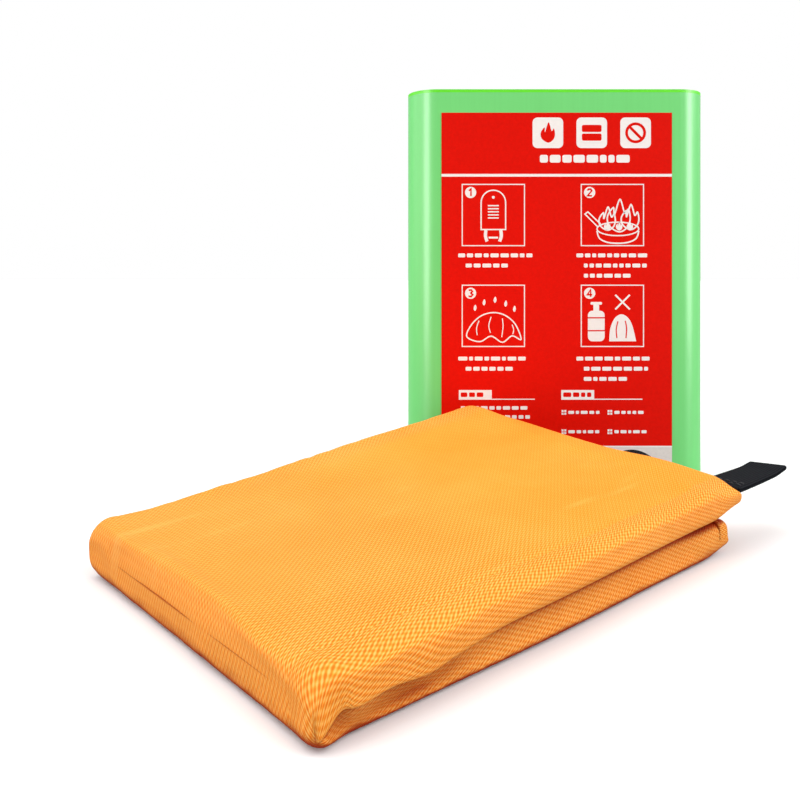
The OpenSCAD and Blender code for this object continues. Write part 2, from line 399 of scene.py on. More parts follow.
def shell_material(name, dark, light, roughness, streak_strength):
    """Extruded plastic: fine streaks along the extrusion, mottled tone and scuffs."""
    made, add, link, shader = material(name)
    place = add("ShaderNodeTexCoord")
    stretch = add("ShaderNodeMapping")
    stretch.inputs["Scale"].default_value = (420.0, 420.0, 3.0)
    link(place.outputs["Object"], stretch.inputs["Vector"])
    streaks = add("ShaderNodeTexNoise", Scale=1.0, Detail=3.0, Roughness=0.6)
    link(stretch.outputs[0], streaks.inputs["Vector"])
    mottle = add("ShaderNodeTexNoise", Scale=9.0, Detail=3.0)
    link(place.outputs["Object"], mottle.inputs["Vector"])
    grain = add("ShaderNodeTexNoise", Scale=1500.0, Detail=1.0)
    link(place.outputs["Object"], grain.inputs["Vector"])
    mixed = math_node(add, link, "ADD",
                      math_node(add, link, "MULTIPLY", streaks.outputs["Fac"], streak_strength),
                      math_node(add, link, "MULTIPLY", mottle.outputs["Fac"],
                                1 - streak_strength))
    link(colour_ramp(add, link, mixed, ((0.3, dark), (0.7, light))), shader.inputs["Base Color"])
    rough = math_node(add, link, "MULTIPLY_ADD", streaks.outputs["Fac"], 0.12)
    rough.node.inputs[2].default_value = roughness - 0.06
    link(rough, shader.inputs["Roughness"])
    relief = math_node(add, link, "ADD", streaks.outputs["Fac"],
                       math_node(add, link, "MULTIPLY", grain.outputs["Fac"], 0.5))
    bumped = add("ShaderNodeBump", Strength=0.12, Distance=0.05 * MM)
    link(relief, bumped.inputs["Height"])
    link(bumped.outputs[0], shader.inputs["Normal"])
    shader.inputs["Coat Weight"].default_value = 0.25
    shader.inputs["Coat Roughness"].default_value = 0.22
    return made


def print_material(name, base, spread=0.06, roughness=0.42):
    """Printed label film: a flat ink with faint mottling and grain."""
    made, add, link, shader = material(name)
    place = add("ShaderNodeTexCoord")
    mottle = add("ShaderNodeTexNoise", Scale=600.0, Detail=4.0, Roughness=0.7)
    link(place.outputs["Object"], mottle.inputs["Vector"])
    dark = tuple(c * (1 - spread) for c in base)
    light = tuple(min(1.0, c * (1 + spread)) for c in base)
    link(colour_ramp(add, link, mottle.outputs["Fac"], ((0.3, dark), (0.7, light))),
         shader.inputs["Base Color"])
    bumped = add("ShaderNodeBump", Strength=0.06, Distance=0.03 * MM)
    link(mottle.outputs["Fac"], bumped.inputs["Height"])
    link(bumped.outputs[0], shader.inputs["Normal"])
    shader.inputs["Roughness"].default_value = roughness
    shader.inputs["Specular IOR Level"].default_value = 0.06
    return made


WEBBING = webbing_material()
ORANGE_THREAD = thread_material("thread_orange", (0.45, 0.11, 0.01), (0.8, 0.28, 0.04))
GREY_THREAD = thread_material("thread_grey", (0.012, 0.012, 0.014), (0.04, 0.04, 0.045))
SHELL = shell_material("shell_green", (0.165, 0.735, 0.185), (0.185, 0.80, 0.21), 0.36, 0.35)
CAP = shell_material("cap_green", (0.10, 0.80, 0.0), (0.13, 0.90, 0.0), 0.45, 0.2)
INK_RED = print_material("print_red", (0.80, 0.005, 0.0))
INK_WHITE = print_material("print_white", (0.97, 0.95, 0.93), 0.02)
FILM_GREY = print_material("film_grey", (0.80, 0.76, 0.72), 0.05)


# ------------------------------------------------------------------ pack form

CELL = 3.2 * MM              # size of a mesh cell on the cloth
ROLL_OUT = 13 * MM           # how far in from a long side the outer face starts to roll
ROLL_IN = 5.5 * MM           # the same for the inner face
SPINE = 1.6 * MM             # cloth left at the main fold, outside the inner crease
GAP = 0.12 * MM              # between the halves at the fold
FOLD_TURNS = 18              # rows of cells round the main fold
LIP = 1.5 * MM               # radius of the skin's turn-in at the open end
LIP_DEPTH = 5 * MM           # how deep the turned-in skin goes
RIM_REST = 14 * MM           # cloth this close to the open end stays as drawn
LOWER_SLOPE = (LOWER_MAX[2] - FOLD_R) / LOWER_L
UPPER_END_LOW = UPPER_POINTS[UPPER_POINTS[:, 0] > UPPER_L - MM][:, 2].min()
UPPER_SLOPE = (UPPER_END_LOW - FOLD_R) / UPPER_L
TOP_SLOPE = (UPPER_MAX[2] - 2 * FOLD_R) / (UPPER_L - FOLD_R)


TOE_R = 4.6 * MM               # of the near corner's foot, in plan


def squared_sides(u, v, up, a):
    """Draws v outwards where the rolled sides are tighter than round."""
    near_half = v < PACK_W / 2
    outside = smooth(a, 0.0, 0.5) * (1.3 - 0.9 * up * near_half)
    outside = outside * np.where(near_half, smooth(u, 2 * MM, 22 * MM), 1.0)
    inside = smooth(-a, 0.0, 0.5) * 1.4 * near_half * (1 - smooth(u, 20 * MM, 90 * MM))
    reach = np.where(a > 0, ROLL_OUT, ROLL_IN)
    inset = np.minimum(v, PACK_W - v)
    pulled = reach * (np.clip(inset, 0, reach) / reach) ** (1 + outside + inside)
    shift = np.where(inset < reach, pulled - inset, 0.0)
    return v + np.where(near_half, shift, -shift)


def layer_lift(u, v, up, a):
    """How far the loose layers rise: more to the far corner, then over the edge."""
    outer_share = (1 + a) / 2
    along = np.clip((u - 40 * MM) / (195 * MM), 0, 1)
    across = np.clip(v / PACK_W, 0, 1)
    lift = along * (14.5 * MM * across ** 1.5 - 4 * MM)
    share = up * (0.45 + 0.55 * outer_share) + (1 - up) * 0.4 * (1 - outer_share)
    far = smooth(v, PACK_W - 45 * MM, PACK_W - 10 * MM)
    far_rise = (1.0 + 2.5 * smooth(u, 20 * MM, 200 * MM)) * MM
    droop = 1 - 1.45 * smooth(u, 233 * MM, 245 * MM)
    crown = 1.9 * MM * hump(v, 42 * MM, 22 * MM) * smooth(u, 180 * MM, 240 * MM)
    return lift * share + up * outer_share * (far * far_rise * droop + crown)


def near_slit(u, v, z, up, a):
    """How far the crease on the near side hangs down: a hollow, then down to the tip."""
    inner = smooth(-a, -0.5, 0.5)
    slit = 1 - smooth(v, 5 * MM, 16 * MM)
    hollow = smooth(u, 6 * MM, 16 * MM) * (1 - smooth(u, 40 * MM, 78 * MM))
    ripple = 0.9 * MM * np.sin(u / (5.5 * MM)) * (1 - smooth(u, 36 * MM, 60 * MM))
    sag = hollow * ((1 - up) * 3.0 * MM + up * (2.4 * MM + ripple))
    return slit * inner * (sag + 0.62 * z * (1 - smooth(u, 1.5 * MM, 11 * MM)))


def open_corner(u, v, up, a):
    """How the near corner of the open end rounds off: how far it draws in and rises."""
    corner = (1 - smooth(v, 0, 14 * MM)) * smooth(u, 218 * MM, 243 * MM)
    lobe_top = (up < 0.5) & (a < 0)
    pinch = np.where(lobe_top, 0.1 * MM, 3.6 * MM)
    draw_in = np.where(lobe_top, 0.8 * MM, 3.2 * MM)
    return corner * abs(a) ** 3 * draw_in, corner * a * (1 - 2 * up) * pinch


def round_toe(u, v, z, toe):
    """Lets the foot of the fold's near corner bulge out, and rounds it in plan."""
    u, v = u - 1.2 * MM * toe, v - 2.0 * MM * toe
    centre_u, centre_v = TOE_R - 1.2 * MM, TOE_R - 3.6 * MM
    du, dv = np.maximum(centre_u - u, 0), np.maximum(centre_v - v, 0)
    far = np.maximum(np.hypot(du, dv), TOE_R)
    inside = (1 - TOE_R / far) * (1 - smooth(z, 4 * MM, 14 * MM)) * (np.minimum(du, dv) > 0)
    return u + du * inside, v + dv * inside


def settle(u, v, z, up, a):
    """Moves ideal pack points as loose cloth layers settle.

    up is 0 on the lower half and 1 on the upper half; a is -1 on a half's inner
    face and 1 on its outer face."""
    rise = layer_lift(u, v, up, a)
    v = squared_sides(u, v, up, a)
    near = 1 - smooth(v, 0, 17 * MM)
    edge = 1 - smooth(v, 1 * MM, 13 * MM)
    far = smooth(v, PACK_W - 17 * MM, PACK_W)
    fade = 1 - smooth(u, 90 * MM, 220 * MM)
    tuck = 1.2 * MM + 3.6 * MM * smooth(u, 80 * MM, 232 * MM)
    apart = smooth(u, 1 * MM, 15 * MM)
    shifted = (1 - up) * tuck - up * 3.4 * MM * fade
    new_v = v + near * (shifted * apart - 1.6 * MM * (1 - apart))
    new_v = new_v + far * (up * 1.5 * MM * fade - (1 - up) * 1.5 * MM)
    lower = 1 - smooth(up, 0.3, 0.6)
    beside_slit = 2.2 * MM * smooth(-a, -0.7, 0.4) * (1 - smooth(u, 8 * MM, 17 * MM))
    under_edge = 2.6 * MM * smooth(-a, -0.7, 0.3) * smooth(u, 10 * MM, 40 * MM)
    under_edge = under_edge * (1 - smooth(u, 190 * MM, 228 * MM))
    new_v = new_v + lower * edge * (beside_slit + under_edge)
    toe = near * (1 - smooth(z, 0, 9 * MM)) * (1 - smooth(u, 4 * MM, 18 * MM))
    shrink = 1 - 0.12 * toe
    draw_in, pinch = open_corner(u, v, up, a)
    new_z = z * shrink + rise - near_slit(u, v, z, up, a) + pinch
    new_u, new_v = round_toe(u * shrink, new_v, new_z, toe)
    return new_u - draw_in, new_v, new_z


def side_profile():
    """The folded skin's side view as rows of (u, z) for its outer and inner face and
    the share of the upper half, from the lower open end round to the upper one."""
    cells = int(round((LOWER_L - FOLD_R) / CELL))
    outer, inner, up = [], [], []
    for u in np.linspace(LOWER_L - LIP, FOLD_R, cells, endpoint=False):
        outer.append((u, 0.0))
        inner.append((u, FOLD_R - GAP / 2 + LOWER_SLOPE * u))
        up.append(0.0)
    for i in range(FOLD_TURNS + 1):
        angle = math.pi * (i / FOLD_TURNS - 0.5)
        lean = abs(math.sin(angle))
        crease = SPINE + (FOLD_R - SPINE) * lean ** 1.5
        slope = LOWER_SLOPE if angle < 0 else UPPER_SLOPE
        side = GAP / 2 * math.copysign(min(1.0, 3 * lean), angle)
        square = 2 / (3.6 if angle < 0 else 2.1)
        outer.append((FOLD_R * (1 - math.cos(angle) ** square),
                      FOLD_R * (1 + math.copysign(lean ** square, angle))))
        inner.append((crease, FOLD_R + side + slope * crease * lean))
        up.append((1 + math.sin(angle)) / 2)
    for u in np.linspace(UPPER_L - LIP, FOLD_R, cells, endpoint=False)[::-1]:
        outer.append((u, 2 * FOLD_R + TOP_SLOPE * (u - FOLD_R)))
        inner.append((u, FOLD_R + GAP / 2 + UPPER_SLOPE * u))
        up.append(1.0)
    return np.array(outer), np.array(inner), np.array(up)


def roll(reach, end, steps, power, middle=-0.05):
    """Points (inset from the side, a) of a rolled edge, from a flat face at a = end."""
    angles = [math.pi / 2 * (i + 1) / (steps + 1) for i in range(steps)]
    return [(reach * (1 - math.sin(t) ** (2 / power)),
             middle + (end - middle) * math.cos(t) ** (2 / power)) for t in angles]


def section_profile(width):
    """Points (v, a) round the skin's cross-section: the outer face, the far side, the
    inner face and the near side."""
    outer_roll, inner_roll = roll(ROLL_OUT, 1.0, 8, 2.6), roll(ROLL_IN, -1.0, 6, 3.2)
    outer_cells = int(round((width - 2 * ROLL_OUT) / CELL))
    inner_cells = int(round((width - 2 * ROLL_IN) / CELL))
    section = [(v, 1.0) for v in np.linspace(ROLL_OUT, width - ROLL_OUT, outer_cells)]
    section += [(width - inset, a) for inset, a in outer_roll]
    section += [(width, -0.05)]
    section += [(width - inset, a) for inset, a in reversed(inner_roll)]
    section += [(v, -1.0) for v in np.linspace(width - ROLL_IN, ROLL_IN, inner_cells)]
    section += inner_roll
    section += [(0.0, -0.05)]
    section += list(reversed(outer_roll))
    return np.array(section)


def half_point(up, u, v, a):
    """A point of a half's body before it settles, up being 0 or 1."""
    if up:
        low = FOLD_R + GAP / 2 + UPPER_SLOPE * u
        high = 2 * FOLD_R + TOP_SLOPE * (u - FOLD_R)
        return (low + high) / 2 + (high - low) / 2 * a
    low = FOLD_R - GAP / 2 + LOWER_SLOPE * u
    return low / 2 - low / 2 * a


def in_half(up, u, v, a):
    """The settled row-frame points of a half, from its u, v and a."""
    u, v, a = np.broadcast_arrays(*(np.asarray(x, float) for x in (u, v, a)))
    return from_pack(*settle(u, v, half_point(up, u, v, a), float(up), a))


def lip_rows(up, section, length):
    """Rows of points where the skin turns in at the open end, from the outside in."""
    rows = []
    thick = half_point(up, length, 0, 1.0) - half_point(up, length, 0, -1.0)
    for turn in (0.35, 0.7, 1.0, None):
        if turn is None:
            inset, u = 2 * LIP, length - LIP_DEPTH
        else:
            inset = LIP * (1 - math.cos(turn * math.pi))
            u = length - LIP + LIP * math.sin(turn * math.pi)
        v = PACK_W / 2 + (section[:, 0] - PACK_W / 2) * (1 - 2 * inset / PACK_W)
        a = section[:, 1] * (1 - 2 * inset / abs(thick))
        rows.append(in_half(up, u, v, a))
    return rows


def skin_rows():
    """All rows of the skin's points, and the length along the cloth of each."""
    outer, inner, up = side_profile()
    section = section_profile(PACK_W)
    v, a = section[:, 0][None, :], section[:, 1][None, :]
    middle, half = (outer + inner) / 2, (outer - inner) / 2
    u = middle[:, 0][:, None] + half[:, 0][:, None] * a
    z = middle[:, 1][:, None] + half[:, 1][:, None] * a
    v, a, up = np.broadcast_arrays(v, a, up[:, None])[0:3]
    body = from_pack(*settle(u, v, z, up, a))
    start = lip_rows(0, section, LOWER_L)[::-1]
    end = lip_rows(1, section, UPPER_L)
    rows = np.concatenate([np.array(start), body, np.array(end)])
    along = path_lengths(outer)
    turn_in = np.cumsum([1.5 * MM, 1.5 * MM, 1.5 * MM, LIP_DEPTH])
    along = np.concatenate([-turn_in[::-1], along, along[-1] + turn_in])
    return rows, along


def simulate(piece, held, pressure, shrink, cap):
    """Inflates a cloth piece a little with Blender's cloth, and keeps what it does.

    held gives the vertices that stay put; no point moves further than cap."""
    rest = np.array([v.co for v in piece.data.vertices])
    group = piece.vertex_groups.new(name="held")
    for index in np.nonzero(held > 0)[0]:
        group.add([int(index)], float(held[index]), "REPLACE")
    cloth = piece.modifiers.new("cloth", "CLOTH")
    settings = cloth.settings
    settings.quality = 6
    settings.mass = 0.15
    settings.tension_stiffness = 12
    settings.compression_stiffness = 12
    settings.shear_stiffness = 4
    settings.bending_stiffness = 0.6
    settings.air_damping = 2
    settings.vertex_group_mass = "held"
    settings.pin_stiffness = 1.0
    settings.shrink_min = -shrink
    settings.use_pressure = True
    settings.uniform_pressure_force = pressure
    settings.effector_weights.gravity = 0
    cloth.collision_settings.use_collision = False
    cloth.collision_settings.use_self_collision = False
    cloth.point_cache.frame_start = 1
    cloth.point_cache.frame_end = SIM_FRAMES
    for step in range(1, SIM_FRAMES + 1):
        bpy.context.scene.frame_set(step)
    shape = piece.evaluated_get(bpy.context.evaluated_depsgraph_get()).data
    moved = np.array([v.co for v in shape.vertices]) - rest
    piece.modifiers.remove(cloth)
    piece.vertex_groups.remove(group)
    bpy.context.scene.frame_set(1)
    far = np.linalg.norm(moved, axis=1)
    scale = np.where(far > 1e-9, cap * np.tanh(far / cap) / np.maximum(far, 1e-9), 1.0)
    final = rest + moved * scale[:, None] * (1 - held)[:, None]
    piece.data.vertices.foreach_set("co", final.astype(np.float32).ravel())
    piece.data.update()


SIM_FRAMES = 16


def cloth_skin():
    """The outer cloth of both halves and the main fold, as one tube bent double."""
    rows, along = skin_rows()
    around = path_lengths(rows[len(rows) // 5], closed=True)
    skin = make_object("cloth_skin", *tube(rows, around, along), CLOTH)
    section = section_profile(PACK_W)
    size = len(section)
    outer, inner, up = side_profile()
    edge = 4
    share = np.concatenate([np.zeros(edge), up, np.ones(edge)])
    reach = np.concatenate([np.full(edge, LOWER_L), outer[:, 0], np.full(edge, UPPER_L)])
    held = np.zeros((len(rows), size))
    held[:, section[:, 1] < -0.35] = 1.0
    held = np.maximum(held, smooth(reach, LOWER_L - RIM_REST, LOWER_L - 3 * MM)[:, None])
    floor = (1 - smooth(share, 0.02, 0.2))[:, None] * smooth(section[:, 1], 0.55, 0.9)[None, :]
    held = np.maximum(held, floor).ravel()
    turned = skin.data.attributes.new("turned", "FLOAT", "POINT")
    turned.data.foreach_set("value", np.repeat(smooth(share, 0.25, 0.75), size).astype(np.float32))
    simulate(skin, held, pressure=2.4, shrink=0.006, cap=2.2 * MM)
    points = np.array([v.co for v in skin.data.vertices])
    normals = np.array([v.normal for v in skin.data.vertices])
    soft = 0.35 * MM * wander(points, 55 * MM, 1) + 0.12 * MM * wander(points, 17 * MM, 2)
    points = points + normals * (soft * (1 - held))[:, None]
    skin.data.vertices.foreach_set("co", points.astype(np.float32).ravel())
    skin.data.update()
    subdivide(skin, 1)
    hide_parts("blanket_lower_half", "blanket_upper_half")
    lean = math.atan((LOWER_SLOPE + UPPER_SLOPE) / 2)
    across = -math.sin(lean) * DIR_U + math.cos(lean) * DIR_Z
    start, end = FOLD_POINT - 1.0 * MM * across, FOLD_POINT + 1.0 * MM * across
    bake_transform(skin, "lower_half", "upper_half", start=tuple(start), end=tuple(end))
    part_halves(skin)


def part_halves(skin):
    """Sets each point's share of the upper half by its row, because the halves lie
    too close together, and too wavy, for a flat plane to part them."""
    attributes = skin.data.attributes
    share = np.empty(len(skin.data.vertices), np.float32)
    attributes["turned"].data.foreach_get("value", share)
    attributes["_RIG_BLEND"].data.foreach_set("value", share)
    attributes.remove(attributes["turned"])


def subdivide(piece, levels):
    """Applies a subdivision surface to a piece."""
    piece.modifiers.new("smooth", "SUBSURF").levels = levels
    depsgraph = bpy.context.evaluated_depsgraph_get()
    mesh = bpy.data.meshes.new_from_object(
        piece.evaluated_get(depsgraph), preserve_all_data_layers=True, depsgraph=depsgraph)
    piece.modifiers.clear()
    old, piece.data = piece.data, mesh
    mesh.name = piece.name
    bpy.data.meshes.remove(old)


def patch(points, uv_points, close=False):
    """Vertices, faces and corner UVs of a grid of points."""
    rows, cols = points.shape[:2]
    faces, uvs = [], []
    for i in range(rows - 1):
        for k in range(cols if close else cols - 1):
            n = (k + 1) % cols
            faces.append((i * cols + k, i * cols + n, (i + 1) * cols + n, (i + 1) * cols + k))
            uvs += [uv_points[i, k], uv_points[i, n], uv_points[i + 1, n], uv_points[i + 1, k]]
    return points.reshape(-1, 3), faces, uvs


def merge(parts):
    """Joins several (vertices, faces, uvs) into one."""
    verts, faces, uvs = [], [], []
    for part_verts, part_faces, part_uvs in parts:
        base = len(verts)
        verts += [tuple(p) for p in part_verts]
        faces += [tuple(i + base for i in face) for face in part_faces]
        uvs += [tuple(uv) for uv in part_uvs]
    return verts, faces, uvs


LAYERS = 4                   # bundles of folded layers seen at the end of a half


def layer_ends(up, length, name, body):
    """The rounded ends of the folded layers inside a half, seen at its open end."""
    rng = random.Random(11 + up)
    span = 1.72
    parts = []
    for k in range(LAYERS):
        a_mid = -span / 2 + span * (k + 0.5) / LAYERS
        a_half = span / LAYERS / 2 * 0.96
        inset = rng.uniform(3.0, 7.5) * MM
        back = rng.uniform(0.4, 2.4) * MM
        phase = rng.uniform(0, 100)
        v = np.linspace(inset, PACK_W - inset, 58)
        turn = np.linspace(-math.pi / 2, math.pi / 2, 9)
        turns = np.concatenate([[turn[0]], turn, [turn[-1]]])
        deep = np.concatenate([[6 * MM], np.zeros(9), [6 * MM]])
        wave = np.array([noise.noise(Vector((x / (21 * MM), phase, 0))) for x in v])
        nose = 1.7 * MM
        ends = smooth(v, inset, inset + 6 * MM) * (1 - smooth(v, PACK_W - inset - 6 * MM, PACK_W - inset))
        u = (length - 2.2 * MM - back + 1.4 * MM * wave)[:, None] - deep[None, :]
        u = u + nose * np.cos(turns)[None, :] * (0.3 + 0.7 * ends)[:, None]
        a = a_mid + a_half * np.sin(turns)[None, :] * (0.45 + 0.55 * ends)[:, None]
        a = a + 0.05 * wave[:, None]
        points = in_half(up, u, np.broadcast_to(v[:, None], u.shape), a)
        uv = np.stack(np.broadcast_arrays(v[:, None], (turns * nose)[None, :] + k * 9 * MM), -1)
        parts.append(patch(points, uv))
    # The layer ends take the darker copy of the cloth, which is painted shade.
    piece = make_object(name, *merge(parts), CLOTH_INSIDE_SHADED)
    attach(piece, body)


HEM_W = 9 * MM
HEM_T = 1.0 * MM


def hem_path(up):
    """Points (v, a) where the hem lies: a half's inner face, and the lower one's sides."""
    section = section_profile(PACK_W)
    return section[section[:, 1] < (-0.97 if up else -0.02)]


def hem(up, length, name, body, node):
    """The sewn edge round the inner face and sides of a half's open end."""
    path = hem_path(up)
    thick = abs(half_point(up, length, 0, 1.0) - half_point(up, length, 0, -1.0))
    rows = []
    for u, out in ((length - HEM_W, -0.3), (length - HEM_W, 0.55), (length - HEM_W + MM, 1.0),
                   (length - HEM_W / 2, 1.0), (length - 2.6 * MM, 0.7), (length - 1.9 * MM, 0.2),
                   (length - 1.6 * MM, -0.4)):
        grow = out * HEM_T
        v = PACK_W / 2 + (path[:, 0] - PACK_W / 2) * (1 + 2 * grow / PACK_W)
        a = -1.0 + (path[:, 1] + 1.0) - 2 * grow / thick * (-path[:, 1])
        rows.append(in_half(up, u, v, a))
    rows = np.array(rows)
    along = path_lengths(rows[:, len(path) // 2])
    around = path_lengths(rows[3])
    uv = np.stack(np.broadcast_arrays(along[:, None], around[None, :]), -1)
    piece = make_object(name, *patch(rows, uv), CLOTH)
    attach(piece, body)
    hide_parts(node)


def rod(start, end, bow, radius=0.28 * MM, steps=4, sides=6):
    """A short thread from start to end that bows out in the middle."""
    start, end = Vector(start), Vector(end)
    along = (end - start).normalized()
    bow = Vector(bow)
    side = along.cross(bow).normalized()
    rings = []
    for i in range(steps + 1):
        t = i / steps
        middle = start.lerp(end, t) + bow * math.sin(math.pi * t)
        thin = radius * (0.6 + 0.4 * math.sin(math.pi * t))
        rings.append([middle + thin * (math.cos(w) * side + math.sin(w) * bow.normalized())
                      for w in (2 * math.pi * k / sides for k in range(sides))])
    rings = np.array(rings)
    ring_uv = np.linspace(0, 2 * math.pi * radius, sides + 1)
    return tube(rings, ring_uv, np.linspace(0, (end - start).length, steps + 1))


STITCH_PITCH = 5 * MM
STITCH_L = 3.4 * MM


def hem_stitches(up, length, name, body, node):
    """A row of stitches along the hem's inner edge."""
    path = hem_path(up)
    u = length - HEM_W + 1.6 * MM
    thick = abs(half_point(up, length, 0, 1.0) - half_point(up, length, 0, -1.0))
    line = in_half(up, u, PACK_W / 2 + (path[:, 0] - PACK_W / 2) * (1 + 2 * HEM_T / PACK_W),
                   path[:, 1] + 2 * HEM_T / thick * path[:, 1])
    centre = in_half(up, u, PACK_W / 2, 0.0)
    dist = path_lengths(line)
    parts = []
    count = int((dist[-1] - 4 * MM) / STITCH_PITCH)
    for k in range(count):
        at = 2 * MM + k * STITCH_PITCH
        ends = [Vector([np.interp(at + d, dist, line[:, c]) for c in range(3)])
                for d in (0, STITCH_L)]
        out = ends[0] - Vector(centre)
        out -= out.dot(DIR_U) * DIR_U
        near_face = Vector((0, 0, 1 if not up else -1))
        out = near_face if abs(out.dot(DIR_V)) < PACK_W / 2 - 5 * MM else out.normalized()
        parts.append(rod(ends[0], ends[1], out * 0.3 * MM))
    piece = make_object(name, *merge(parts), ORANGE_THREAD)
    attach(piece, body)
    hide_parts(node)


# ------------------------------------------------------------------ pull tapes

def ribbon(path, width, thick, place):
    """A webbing band along a closed or open path of (u, z), with rounded edges."""
    path = np.asarray(path, float)
    step = np.gradient(path, axis=0)
    step /= np.linalg.norm(step, axis=1)[:, None]
    normal = np.stack([-step[:, 1], step[:, 0]], 1)
    edge = [(-0.5, -0.2), (-0.5, 0.2), (-0.485, 0.42)]
    edge += [(x, 0.5) for x in np.linspace(-0.465, 0.465, 14)]
    edge += [(0.485, 0.42), (0.5, 0.2), (0.5, -0.2), (0.485, -0.42)]
    edge += [(x, -0.5) for x in np.linspace(0.465, -0.465, 14)]
    edge += [(-0.485, -0.42)]
    edge = np.array(edge)
    rings = []
    for point, out in zip(path, normal):
        u = point[0] + out[0] * thick * edge[:, 1]
        z = point[1] + out[1] * thick * edge[:, 1]
        rings.append(place(u, width * edge[:, 0], z))
    rings = np.array(rings)
    around = path_lengths(np.stack([edge[:, 0] * width, edge[:, 1] * thick], 1), closed=True)
    return tube(rings, around, path_lengths(path))


def offset_path(path, distance):
    """The path moved sideways by a distance."""
    path = np.asarray(path, float)
    step = np.gradient(path, axis=0)
    step /= np.linalg.norm(step, axis=1)[:, None]
    return path + distance * np.stack([-step[:, 1], step[:, 0]], 1)


def loop_path(spine, apart, tip_steps=7):
    """Out along one side of a spine, round its tip and back along the other."""
    below, above = offset_path(spine, -apart), offset_path(spine, apart)
    end, last = np.asarray(spine[-1]), np.asarray(spine[-1]) - np.asarray(spine[-2])
    ahead = last / np.linalg.norm(last)
    side = np.array([-ahead[1], ahead[0]])
    tip = [end + apart * (1.5 * math.sin(w) * ahead - math.cos(w) * side)
           for w in np.linspace(0, math.pi, tip_steps + 2)[1:-1]]
    return np.concatenate([below, tip, above[::-1]])


TAPE_T = 1.35 * MM
TAPE_INSIDE = 8 * MM         # tape hidden between the cloth layers


def tape_box(node):
    """The tape node's lowest and highest u, v and z, with v from the near side."""
    low, high = pack_box(node)
    return low - (0, NEAR_V, 0), high - (0, NEAR_V, 0)


def make_tape(name, spine, middle_v, width, twist, dome, bodies, root, node):
    """A sewn webbing loop that bends where it leaves the cloth.

    twist tips its width over, dome lets both its edges hang, and the hidden root is
    gathered narrower inside the pack."""
    def place(u, w, z):
        away = np.clip((u - root[0]) / (40 * MM), 0, 1.4)
        hang = dome * (2 * w / width) ** 2 * np.clip((u - root[0]) / (6 * MM), 0, 1)
        hidden = np.clip((root[0] - u) / (2.5 * MM), 0, 1)
        v = middle_v + w * (1 - 0.04 * away) * (1 - 0.5 * hidden) + 4 * MM * hidden
        return from_pack(u, v, z + twist * w * away ** 1.5 - hang)

    apart = TAPE_T / 2 + 0.05 * MM
    piece = make_object(name, *ribbon(loop_path(spine, apart), width, TAPE_T, place), WEBBING)
    subdivide(piece, 1)
    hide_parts(node)
    inside = from_pack(root[0] - 1.5 * MM, middle_v, root[1])
    outside = from_pack(root[0] + 1.0 * MM, middle_v, root[1])
    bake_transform(piece, *bodies, start=tuple(inside), end=tuple(outside))


def tape_seams(name, spots, middle_v, width, lift, body, node):
    """Rows of grey stitches across a tape, at (u, z) spots with their normals."""
    parts = []
    for (u, z), (nu, nz) in spots:
        for side in (-1, 1):
            bow = side * (nu * DIR_U + nz * DIR_Z)
            base_u, base_z = u + side * nu * lift, z + side * nz * lift
            count = 5
            for k in range(count):
                v = middle_v + (k - (count - 1) / 2) * width / (count + 0.6)
                ends = from_pack([base_u] * 2, [v - 1.3 * MM, v + 1.3 * MM], [base_z] * 2)
                parts.append(rod(ends[0], ends[1], bow * 0.35 * MM, 0.25 * MM))
    piece = make_object(name, *merge(parts), GREY_THREAD)
    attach(piece, body)
    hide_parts(node)


def right_tape():
    """The tape at the near corner, which lies out flat and curls up at its end."""
    low, high = tape_box("pull_tape_right")
    root = (low[0], JOINTS["right_tape_swing"]["pos_m"][2])
    reach = high[0] - low[0] - 1.6 * MM
    curl = high[2] - root[1] - 2.2 * MM
    s = np.linspace(-TAPE_INSIDE / reach, 1, 30)
    rise = curl * (0.28 * np.clip(s, 0, 1) ** 2 + 0.28 * smooth(s, 0.76, 1.04))
    spine = np.stack([root[0] + s * reach, root[1] + rise], 1)
    middle, width = (low[1] + high[1]) / 2, high[1] - low[1]
    make_tape("pull_tape_right_webbing", spine, middle, width, -0.045, 0.0,
              ("upper_half", "right_tape"), root, "pull_tape_right")
    spots = [((root[0] + x, root[1]), (0, 1)) for x in (4 * MM, 7.5 * MM)]
    tape_seams("right_tape_seams", spots, middle, width, TAPE_T + 0.25 * MM,
               "right_tape", "right_tape_stitching")


def left_tape():
    """The tape that turns up behind the open end and arches over."""
    low, high = tape_box("pull_tape_left")
    root = (low[0], JOINTS["left_tape_swing"]["pos_m"][2])
    half_t = TAPE_T + 0.2 * MM
    top = high[2] - half_t - 3.0 * MM
    inner_u, outer_u = low[0] + 9.5 * MM, high[0] - half_t - 0.3 * MM
    arch_r = (outer_u - inner_u) / 2
    bend_r = inner_u - low[0]
    points = [(low[0] - TAPE_INSIDE + 2 * MM * i, root[1]) for i in range(4)]
    points += [(low[0] + bend_r * math.sin(w), root[1] + bend_r * (1 - math.cos(w)))
               for w in np.linspace(0, math.pi / 2, 10)]
    rise = np.linspace(root[1] + bend_r, top - arch_r, 5)[1:]
    points += [(inner_u, z) for z in rise]
    points += [(inner_u + arch_r * (1 - math.cos(w)), top - arch_r + arch_r * math.sin(w))
               for w in np.linspace(0, math.pi, 16)[1:]]
    points += [(outer_u, z) for z in np.linspace(top - arch_r, low[2] + 6.0 * MM, 8)[1:]]
    middle, width = (low[1] + high[1]) / 2 + 4.0 * MM, high[1] - low[1]
    make_tape("pull_tape_left_webbing", points, middle, width, 0.0, 2.8 * MM,
              ("lower_half", "left_tape"), root, "pull_tape_left")
    spots = []
    for x in (4 * MM, 7 * MM):
        w = math.asin(x / bend_r)
        spots.append(((low[0] + x, root[1] + bend_r * (1 - math.cos(w))),
                      (-math.sin(w), math.cos(w))))
    tape_seams("left_tape_seams", spots, middle, width, TAPE_T + 0.25 * MM,
               "left_tape", "left_tape_stitching")


